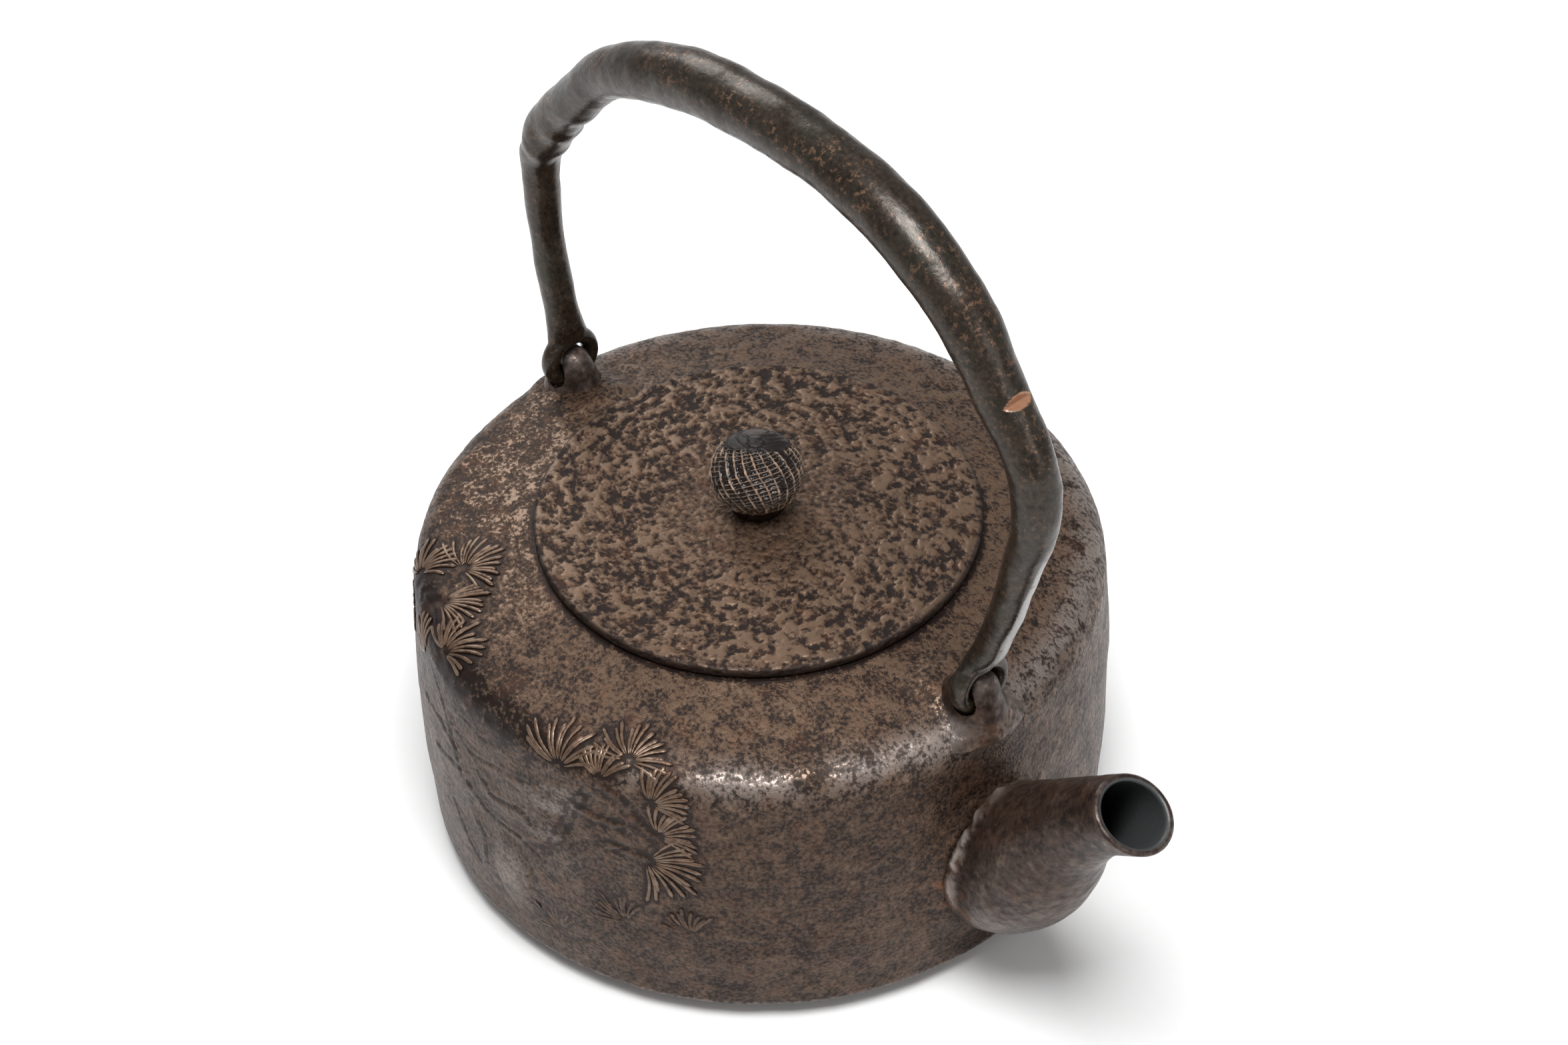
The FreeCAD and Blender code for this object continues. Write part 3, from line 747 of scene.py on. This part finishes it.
def spout():
    """The swan-necked spout with its bore, a rough seam at the root and a thin flared rim."""
    stations = smooth_rows(SPOUT_STATIONS, 0.75)
    outer = spout_rings(stations, 144, True)
    bore = spout_rings(stations, 144, False)
    rim_way = outward(outer)
    axis = np.cross(outer[-1, 36] - outer[-1, 0], outer[-1, 72] - outer[-1, 36])
    axis /= np.linalg.norm(axis)
    axis *= math.copysign(1, axis[2])
    lip = [(outer[-1] * (1 - k) + bore[-1] * k) + axis * 0.55 * math.sin(math.pi * k)
           for k in (0.25, 0.5, 0.75)]
    out_of_wall = np.hypot(outer[..., 0], outer[..., 1]) - 86.0
    ahead = (stations[:, 0] < 105)[:, None]
    seam = hump(out_of_wall - 3.0, 1.5) * ahead * ease(24, 40, outer[..., 2])
    crease = hump(out_of_wall - 3.4, 0.5) * ahead * (1 - ease(20, 32, outer[..., 2]))
    grain = rough(outer, 2.0, 81)
    fine = rough(outer, 0.9, 85, layers=2)
    swell = rough(outer, 11.0, 89, layers=2)
    near_rim = ease(121.0, 129.0, stations[:, 0])[:, None]
    height = 0.05 * grain + 0.02 * fine + 0.22 * swell * (1 - near_rim) + seam * (1.0 + 0.6 * grain)
    height = height - 0.35 * crease
    outer = outer + rim_way * height[..., None]
    rings = np.concatenate([outer, np.array(lip), bore[::-1]])
    rows = len(outer)
    tone = np.concatenate([0.45 * grain + 0.35 * swell + seam * (1.4 + 0.8 * grain) - crease,
                           np.zeros((3 + rows, 144)) - 0.3])
    zero = np.zeros((3 + rows, 144))
    rim_wear = ease(-0.5, 0.5, rough(np.array(lip), 3.0, 83)) * 0.35
    worn_and_sheen = np.concatenate([0.9 * seam * ease(-0.3, 0.4, grain), rim_wear, np.zeros((rows, 144))])
    inside_and_rim_shade = np.concatenate([np.zeros((rows + 2, 144)), np.ones((rows + 1, 144))])
    stain = hump(out_of_wall - 3.0, 6.0) * ahead * ease(8, 30, 58 - outer[..., 2])
    rust = np.concatenate([0.9 * stain, zero])
    calm = np.concatenate([(1 - seam) * 0.75, np.ones((3 + rows, 144))])
    masks = {"tone": tone, "calm": calm, "worn_and_sheen": worn_and_sheen, "rust": rust, "inside_and_rim_shade": inside_and_rim_shade}
    corners, faces = skin(rings, ends="joined")
    return mesh_object("swan_spout", corners, faces, masks)


# --- lugs ---

def torus_rings(wire, radius, along, start, sweep, count, around):
    """Rows of rings round a lug, in the YZ plane; angles are degrees from the foot."""
    rows = []
    for angle in np.radians(np.linspace(start, start + sweep, count)):
        arm = np.array([0.0, math.sin(angle), -math.cos(angle)])
        turn = full_turn(around)
        rows.append(np.array([along, 0.0, RING_HEIGHT]) + arm * radius + wire * np.outer(np.cos(turn), arm)
                    + wire * RING_FLATNESS * np.outer(np.sin(turn), [1.0, 0.0, 0.0]))
    return np.array(rows)


def lug(name, along):
    """One ridge on the shoulder, with a flared foot and the channel that its ring turns in."""
    out = math.copysign(1, along)
    turn = full_turn(72)
    levels = smooth_rows([(0.0, height, inward, outward_by, half)
                          for height, inward, outward_by, half in LUG_LEVELS], 0.4)
    rows = []
    for _, height, inward, outward_by, half in levels:
        across = np.cos(turn)
        reach = np.where(across > 0, outward_by, inward)
        rows.append(np.stack([along + out * across * reach,
                              out * np.sin(turn) * half,
                              np.full(len(turn), height)], axis=1))
    ridge = mesh_object(name, *skin(np.array(rows)))
    channel = torus_rings(RING_WIRE + RING_CLEARANCE, RING_RADIUS, along, 0, 360, 97, 40)[:-1]
    tool = mesh_object(name + "_channel", *skin(channel, ends="joined"))
    flip_if_inside_out(ridge)
    flip_if_inside_out(tool)
    cutter = ridge.modifiers.new("channel", "BOOLEAN")
    cutter.operation = "DIFFERENCE"
    cutter.solver = "EXACT"
    cutter.object = tool
    apply_modifiers(ridge)
    bpy.data.objects.remove(tool)
    remeshed(ridge, 0.3, 3)
    corners, facing = corners_of(ridge)
    grain = rough(corners, 1.8, 91)
    height = 0.05 * grain + 0.12 * rough(corners, 6.0, 93, layers=2)
    foot = 1 - ease(80.5, 84.0, corners[:, 2])
    corners = corners + facing * (height + 0.08 * grain * foot)[:, None]
    radius = np.hypot(corners[:, 0], corners[:, 1])
    # band is partly a painted highlight: it carries the body's pale shoulder highlight band on over the
    # lug's foot.
    band = 0.85 * hump(radius - 79.0, 4.0) * ease(-0.9, 0.0, rough(corners, 14.0, 9, layers=2))
    masks = {"tone": 0.45 * grain + 0.5 * foot - 0.1, "calm": 1 - 0.6 * foot,
             "worn_and_sheen": np.maximum(ease(88, 92.5, corners[:, 2]) * 0.35, band * foot),
             "rust": 0.25 * foot}
    move_corners(ridge, corners, masks)
    return ridge


def flip_if_inside_out(thing):
    """Turn a closed mesh's faces round if they point inwards."""
    mesh = thing.data
    mesh.calc_loop_triangles()
    volume = 0.0
    for triangle in mesh.loop_triangles:
        a, b, c = (mesh.vertices[i].co for i in triangle.vertices)
        volume += a.dot(b.cross(c))
    if volume < 0:
        mesh.flip_normals()


# --- handle ---

# The file cut across the arch's outer side: its middle, the way along the arch there, the way it faces.
NOTCH_PLACE = (85.5, 0.0, 179.1)
NOTCH_ALONG = (0.649, 0.0, -0.761)
NOTCH_FACING = (0.760, 0.05, 0.648)
NOTCH_HALF_LENGTH = 1.9
NOTCH_DEPTH = 2.0
# Which way the pale strip down the front leg faces; the strip is partly rubbed metal, partly a painted
# reflection of light from that side.
SHEEN_STRIP_FACING = (0.65, 0.76, 0.0)
# Small knots on the inner side of the rear elbow: x, z, size and height.
ELBOW_KNOTS = [
    (-74.5, 157.0, 3.0, 0.6),
    (-67.6, 164.6, 2.2, 0.6),
    (-59.0, 173.6, 3.4, 0.4),
    (-84.0, 153.0, 3.6, 0.6),
]


def bail_rings(stations, around=64):
    """Rows of rings along the bail's arch."""
    places = stations[:, :2]
    way = np.gradient(places, axis=0)
    way /= np.linalg.norm(way, axis=1, keepdims=True)
    turn = full_turn(around)
    rows = []
    for (x, z, thick, wide), (way_x, way_z) in zip(stations, way):
        out = np.array([-way_z, 0.0, way_x])
        rows.append(np.array([x, 0.0, z]) + np.outer(np.cos(turn), out) * thick
                    + np.outer(np.sin(turn), [0.0, 1.0, 0.0]) * wide)
    return np.array(rows)


def bail_handle():
    """The bail: a beaten hollow arch whose ends fork into the prongs that hook in the lugs."""
    shells = [skin(bail_rings(smooth_rows(BAIL_STATIONS, 1.5)))]
    for along in RING_PLACES.values():
        ring = torus_rings(RING_WIRE, RING_RADIUS, along, RING_GAP / 2, 360 - RING_GAP, 120, 32)
        shells.append(skin(ring))
    handle = mesh_object("bail_arch", *joined(shells))
    remeshed(handle, 0.5, 4)
    corners, facing = corners_of(handle)
    x, _, z = corners.T
    arch = ease(96.0, 112.0, z)
    beaten = rough(corners, 7.0, 101, layers=2)
    grain = rough(corners, 1.6, 107)
    swell = rough(corners, 13.0, 103, layers=2)
    elbow = hump(np.hypot(x + 76.0, z - 160.0), 9.0) + 0.7 * hump(np.hypot(x - 95.0, z - 160.0), 9.0)
    knots = elbow * rough(corners, 6.0, 109, layers=2)
    height = arch * (0.16 * beaten + 0.3 * swell + 0.55 * knots) + 0.03 * grain
    for knot_x, knot_z, size, rise in ELBOW_KNOTS:
        height += rise * hump(np.hypot(x - knot_x, z - knot_z), size)
    corners = corners + facing * height[:, None]
    from_notch = corners - np.array(NOTCH_PLACE)
    along = np.abs(from_notch @ np.array(NOTCH_ALONG)) / NOTCH_HALF_LENGTH
    proud = from_notch @ np.array(NOTCH_FACING) - (6.1 - NOTCH_DEPTH * np.clip(1 - along, 0, 1))
    cut = np.where(along < 1, np.clip(proud, 0, NOTCH_DEPTH), 0)
    corners = corners - cut[:, None] * np.array(NOTCH_FACING)
    bite = ease(0.02, 0.15, cut)
    upper = 0.45 + 0.55 * ease(-0.1, 0.7, facing[:, 2]) * ease(140, 190, z)
    patchy = ease(-0.45, 0.45, rough(corners, 9.0, 127, 2))
    # strip is partly a painted reflection: the side of the front leg that faces this way is laid in pale
    # grey.
    narrowing = 0.40 * ease(106, 140, z)
    strip = ease(0.10, 0.22, facing @ np.array(SHEEN_STRIP_FACING) - narrowing) * ease(60, 80, x)
    strip = strip * ease(96.0, 99.0, z) * (1 - ease(132.0, 150.0, z))
    masks = {"tone": 0.5 * grain + 0.2 * beaten, "copper": upper * patchy, "bare": bite,
             "worn_and_sheen": strip * ease(-0.9, -0.3, grain)}
    move_corners(handle, corners, masks)
    return handle


# --- materials ---

def add_node(tree, kind, inputs=None, **settings):
    """A shader node with its settings and unlinked inputs."""
    node = tree.nodes.new(kind)
    for name, value in settings.items():
        setattr(node, name, value)
    for name, value in (inputs or {}).items():
        node.inputs[name].default_value = value
    return node


def blend_colour(tree, factor, low, high):
    """A colour between two, which are colours or sockets, by a factor socket."""
    mix = add_node(tree, "ShaderNodeMix", data_type="RGBA", clamp_factor=True)
    tree.links.new(factor, mix.inputs["Factor"])
    for socket, colour in ((mix.inputs[6], low), (mix.inputs[7], high)):
        if isinstance(colour, tuple):
            socket.default_value = (*colour, 1.0)
        else:
            tree.links.new(colour, socket)
    return mix.outputs[2]


def spread(tree, value, from_low, from_high, to_low, to_high):
    """A value socket stretched from one range to another, and kept inside it."""
    node = add_node(tree, "ShaderNodeMapRange", {
        "From Min": from_low, "From Max": from_high, "To Min": to_low, "To Max": to_high})
    tree.links.new(value, node.inputs["Value"])
    return node.outputs["Result"]


def maths(tree, operation, first, second):
    """The result of one operation on two values, each a number or a socket."""
    node = add_node(tree, "ShaderNodeMath", operation=operation)
    for socket, value in zip(node.inputs, (first, second)):
        if isinstance(value, (int, float)):
            socket.default_value = value
        else:
            tree.links.new(value, socket)
    return node.outputs[0]


def centred(tree, noise, depth):
    """Noise in 0..1 moved to swing about nothing, and scaled."""
    return maths(tree, "MULTIPLY", maths(tree, "SUBTRACT", noise, 0.5), depth)


def noise_at(tree, place, size, detail=3.0, roughness=0.55):
    """Noise whose bumps are about `size` millimetres across, as a socket in 0..1."""
    node = add_node(tree, "ShaderNodeTexNoise", {
        "Scale": 1 / (size * MM), "Detail": detail, "Roughness": roughness})
    tree.links.new(place, node.inputs["Vector"])
    return node.outputs["Fac"]


def new_material(name):
    """An empty node material: its tree, its shader and its object coordinates."""
    material = bpy.data.materials.new(name)
    material.use_nodes = True
    tree = material.node_tree
    shader = tree.nodes["Principled BSDF"]
    place = add_node(tree, "ShaderNodeTexCoord").outputs["Object"]
    return material, tree, shader, place


def mask_of(tree, name):
    """The value painted at the mesh's corners under this name."""
    return add_node(tree, "ShaderNodeAttribute", attribute_name=name).outputs["Fac"]


def bumped(tree, shader, heights):
    """Chain bump nodes from (height socket, depth in millimetres, strength) to the shader."""
    before = None
    for height, depth, strength in heights:
        bump = add_node(tree, "ShaderNodeBump", {"Distance": depth * MM, "Strength": strength})
        tree.links.new(height, bump.inputs["Height"])
        if before:
            tree.links.new(before, bump.inputs["Normal"])
        before = bump.outputs["Normal"]
    tree.links.new(before, shader.inputs["Normal"])


def cast_iron(name, skin_tone, high, inside_and_shade_colour, grain_size, gloss, depth):
    """Lacquered cast iron: dark pits, a brown skin, paler high spots, bright rubbed edges that are partly a
    painted highlight, rust, and an inside colour that also paints shade.
    """
    material, tree, shader, place = new_material(name)
    tone = mask_of(tree, "tone")
    calm = mask_of(tree, "calm")
    fine = noise_at(tree, place, grain_size, 4.0, 0.62)
    speck = noise_at(tree, place, grain_size * 0.42, 2.0, 0.5)
    cloud = noise_at(tree, place, 17.0, 3.0, 0.6)
    depth_of_skin = spread(tree, calm, 0.0, 1.0, 4.4, 1.5)
    level = maths(tree, "ADD", tone, centred(tree, fine, depth_of_skin))
    level = maths(tree, "ADD", level, centred(tree, cloud, 0.5))
    colour = blend_colour(tree, spread(tree, level, -0.50, -0.05, 0.0, 1.0), PIT_AND_SHADE, skin_tone)
    colour = blend_colour(tree, spread(tree, level, 0.0, 0.75, 0.0, 1.0), colour, high)
    patches = spread(tree, noise_at(tree, place, 6.0, 4.0, 0.65), 0.52, 0.68, 0.0, 0.8)
    rusty = maths(tree, "MULTIPLY", maths(tree, "ADD", mask_of(tree, "rust"), 0.14), patches)
    colour = blend_colour(tree, rusty, colour, RUST)
    # The pale colour laid here is partly a painted highlight on the shoulder's rounding, the lip and the
    # lugs' feet.
    bright = maths(tree, "MULTIPLY", mask_of(tree, "worn_and_sheen"), spread(tree, level, -0.5, 0.2, 0.15, 0.85))
    colour = blend_colour(tree, bright, colour, WORN_AND_SHEEN)
    # The inside mask also paints shade on the lid rim's outer side face.
    colour = blend_colour(tree, spread(tree, mask_of(tree, "inside_and_rim_shade"), 0.0, 1.0, 0.0, 0.85), colour, inside_and_shade_colour)
    tree.links.new(colour, shader.inputs["Base Color"])
    tree.links.new(spread(tree, level, -0.6, 0.6, gloss + 0.14, gloss - 0.05), shader.inputs["Roughness"])
    shader.inputs["Metallic"].default_value = 0.5
    shader.inputs["Specular IOR Level"].default_value = 0.4
    skin_height = spread(tree, level, -0.5, 0.4, 0.0, 1.0)
    bumped(tree, shader, [(skin_height, 0.16 * depth, 0.7), (fine, 0.10 * depth, 0.7),
                          (speck, 0.04 * depth, 0.6)])
    return material


def bronze_lacquer(name):
    """The handle's dark glossy skin, rubbed through to copper and rust on its upper side, with a pale strip
    down the front leg that is partly a painted reflection.
    """
    material, tree, shader, place = new_material(name)
    tone = mask_of(tree, "tone")
    fine = noise_at(tree, place, 1.1, 4.0, 0.62)
    cloud = noise_at(tree, place, 12.0, 3.0, 0.6)
    scratch_place = add_node(tree, "ShaderNodeMapping", {"Scale": (1.0, 3.0, 1.0)})
    tree.links.new(place, scratch_place.inputs["Vector"])
    scratch = noise_at(tree, scratch_place.outputs["Vector"], 2.6, 3.0, 0.7)
    level = maths(tree, "ADD", maths(tree, "MULTIPLY", tone, 0.25), fine)
    colour = blend_colour(tree, spread(tree, level, 0.30, 0.72, 0.0, 1.0), (0.010, 0.007, 0.004),
                          (0.052, 0.035, 0.024))
    green = spread(tree, cloud, 0.50, 0.66, 0.0, 0.4)
    colour = blend_colour(tree, green, colour, (0.030, 0.031, 0.024))
    specks = spread(tree, noise_at(tree, place, 1.5, 4.0, 0.75), 0.54, 0.62, 0.0, 0.8)
    spots = maths(tree, "MULTIPLY", mask_of(tree, "copper"), specks)
    colour = blend_colour(tree, spots, colour, (0.190, 0.105, 0.062))
    colour = blend_colour(tree, mask_of(tree, "bare"), colour, (0.400, 0.210, 0.125))
    # pale is partly a painted reflection: the pale grey strip down the front leg.
    pale = maths(tree, "MULTIPLY", mask_of(tree, "worn_and_sheen"), 0.85)
    colour = blend_colour(tree, pale, colour, (0.40, 0.39, 0.38))
    tree.links.new(colour, shader.inputs["Base Color"])
    tree.links.new(spread(tree, scratch, 0.3, 0.7, 0.22, 0.38), shader.inputs["Roughness"])
    tree.links.new(spread(tree, pale, 0.0, 0.8, 0.5, 0.1), shader.inputs["Metallic"])
    shader.inputs["Specular IOR Level"].default_value = 0.65
    bumped(tree, shader, [(fine, 0.10, 0.6), (scratch, 0.10, 0.5)])
    return material


def cone_lacquer(name):
    """The knob: wet-black hollows between tan rubbed ridges."""
    material, tree, shader, place = new_material(name)
    fine = noise_at(tree, place, 0.7, 3.0, 0.6)
    level = maths(tree, "ADD", mask_of(tree, "tone"), centred(tree, fine, 1.2))
    colour = blend_colour(tree, spread(tree, level, -0.2, 0.75, 0.0, 1.0), (0.007, 0.003, 0.002),
                          (0.400, 0.270, 0.190))
    colour = blend_colour(tree, spread(tree, mask_of(tree, "calm"), 0.0, 1.0, 0.0, 0.85), colour,
                          (0.085, 0.064, 0.055))
    tree.links.new(colour, shader.inputs["Base Color"])
    gloss = spread(tree, level, -0.4, 0.8, 0.20, 0.48)
    dull = spread(tree, mask_of(tree, "hollow"), 0.0, 1.0, 0.30, 0.0)
    tree.links.new(maths(tree, "ADD", gloss, dull), shader.inputs["Roughness"])
    shader.inputs["Specular IOR Level"].default_value = 0.42
    bumped(tree, shader, [(fine, 0.14, 0.7)])
    return material


def dull_brass(name):
    """The rivet and its washer: tarnished brass with a file's fine scratches."""
    material, tree, shader, place = new_material(name)
    fine = noise_at(tree, place, 0.8, 3.0, 0.6)
    stretched = add_node(tree, "ShaderNodeMapping", {"Scale": (1.0, 9.0, 1.0)})
    tree.links.new(place, stretched.inputs["Vector"])
    file_marks = noise_at(tree, stretched.outputs["Vector"], 1.4, 2.0, 0.6)
    colour = blend_colour(tree, spread(tree, fine, 0.35, 0.68, 0.0, 1.0), (0.42, 0.28, 0.12),
                          (0.13, 0.08, 0.04))
    tree.links.new(colour, shader.inputs["Base Color"])
    tree.links.new(spread(tree, file_marks, 0.3, 0.7, 0.3, 0.55), shader.inputs["Roughness"])
    shader.inputs["Metallic"].default_value = 0.9
    bumped(tree, shader, [(file_marks, 0.03, 0.6), (fine, 0.05, 0.5)])
    return material


def white_paper(name):
    """The plain pale surface that the kettle stands on."""
    material, tree, shader, place = new_material(name)
    fibre = noise_at(tree, place, 2.5, 2.0, 0.5)
    colour = blend_colour(tree, fibre, (0.90, 0.90, 0.90), (0.92, 0.92, 0.92))
    tree.links.new(colour, shader.inputs["Base Color"])
    shader.inputs["Roughness"].default_value = 0.9
    return material


# --- room ---

def stage():
    """A plain pale floor under the kettle."""
    half = 3000.0
    corners = [(-half, -half, 0), (half, -half, 0), (half, half, 0), (-half, half, 0)]
    floor = mesh_object("floor", corners, [[0, 1, 2, 3]])
    floor.data.materials.append(white_paper("floor_paper"))


def soft_box(name, place, aim, width, height, power):
    """A square of soft light, in metres and watts."""
    light = bpy.data.lights.new(name, "AREA")
    light.shape = "RECTANGLE"
    light.size = width
    light.size_y = height
    light.energy = power
    lamp = bpy.data.objects.new(name, light)
    lamp.location = place
    lamp.rotation_euler = (Vector(aim) - Vector(place)).to_track_quat("-Z", "Y").to_euler()
    bpy.context.scene.collection.objects.link(lamp)


def lights():
    """Soft studio light: pale surroundings, a broad light overhead and one to the right."""
    world = bpy.data.worlds.new("studio")
    bpy.context.scene.world = world
    world.use_nodes = True
    backdrop = world.node_tree.nodes["Background"]
    backdrop.inputs["Color"].default_value = (1.0, 1.0, 1.0, 1.0)
    backdrop.inputs["Strength"].default_value = 0.36
    soft_box("overhead", (0.28, -0.20, 1.25), (0, 0, 0.05), 0.56, 0.56, 16.5)
    soft_box("behind", (-1.20, 0.35, 0.95), (0, 0, 0.15), 0.7, 0.7, 7.5)
    soft_box("right", (1.10, 0.05, 0.60), (0, 0, 0.12), 0.5, 0.5, 1.5)


def camera():
    """The camera, placed and rolled as measured, with no depth of field."""
    data = bpy.data.cameras.new("view")
    data.lens = CAMERA_LENS
    data.sensor_width = SENSOR_WIDTH
    data.clip_start = 0.02
    thing = bpy.data.objects.new("view", data)
    way = (Vector(CAMERA_AIM) - Vector(CAMERA_PLACE)).normalized()
    right = way.cross(Vector((0, 0, 1))).normalized()
    up = right.cross(way)
    roll = Matrix.Rotation(math.radians(CAMERA_ROLL), 3, way)
    right, up = roll @ right, roll @ up
    facing = Matrix((right, up, -way)).transposed().to_4x4()
    thing.matrix_world = Matrix.Translation(CAMERA_PLACE) @ facing
    bpy.context.scene.collection.objects.link(thing)
    bpy.context.scene.camera = thing


# --- the kettle ---

# Dark pits of the cast skin; also the colour of the painted shade on and round the lid's rim.
PIT_AND_SHADE = (0.014, 0.007, 0.005)
SKIN = (0.070, 0.040, 0.025)
HIGH = (0.155, 0.098, 0.063)
# Pale rubbed iron; also the colour of the painted highlight on the body's shoulder, lip and lug feet.
WORN_AND_SHEEN = (0.300, 0.265, 0.245)
RUST = (0.240, 0.090, 0.036)
SPOUT_SKIN = (0.045, 0.027, 0.020)
SPOUT_HIGH = (0.110, 0.074, 0.055)
BORE_GREY = (0.080, 0.086, 0.088)


def build():
    """Make every piece and put it on its body."""
    body_iron = cast_iron("body_iron", SKIN, HIGH, PIT_AND_SHADE, 1.0, 0.36, 1.0)
    lid_iron = cast_iron("lid_iron", SKIN, HIGH, PIT_AND_SHADE, 1.15, 0.46, 1.0)
    spout_iron = cast_iron("spout_iron", SPOUT_SKIN, SPOUT_HIGH, BORE_GREY, 1.6, 0.32, 0.45)
    brass = dull_brass("rivet_brass")
    shell, needle_bars = kettle_body()
    for thing in (shell, needle_bars):
        settle(thing, "kettle", "kettle_body", body_iron)
    settle(spout(), "kettle", "spout", spout_iron)
    for end, along in RING_PLACES.items():
        settle(lug(f"{end}_lug_ridge", along), "kettle", f"{end}_lug", spout_iron)
    settle(bail_handle(), "handle", "bail_handle", bronze_lacquer("handle_iron"))
    settle(kettle_lid(), "lid", "lid", lid_iron)
    settle(pine_cone(), "knob", "lid_knob", cone_lacquer("knob_iron"))
    for node in ("knob_pin", "knob_washer"):
        thing = bpy.data.objects[node]
        for slot in thing.material_slots:
            slot.material = brass


build()
stage()
lights()
camera()
bpy.context.scene.view_settings.view_transform = "Standard"
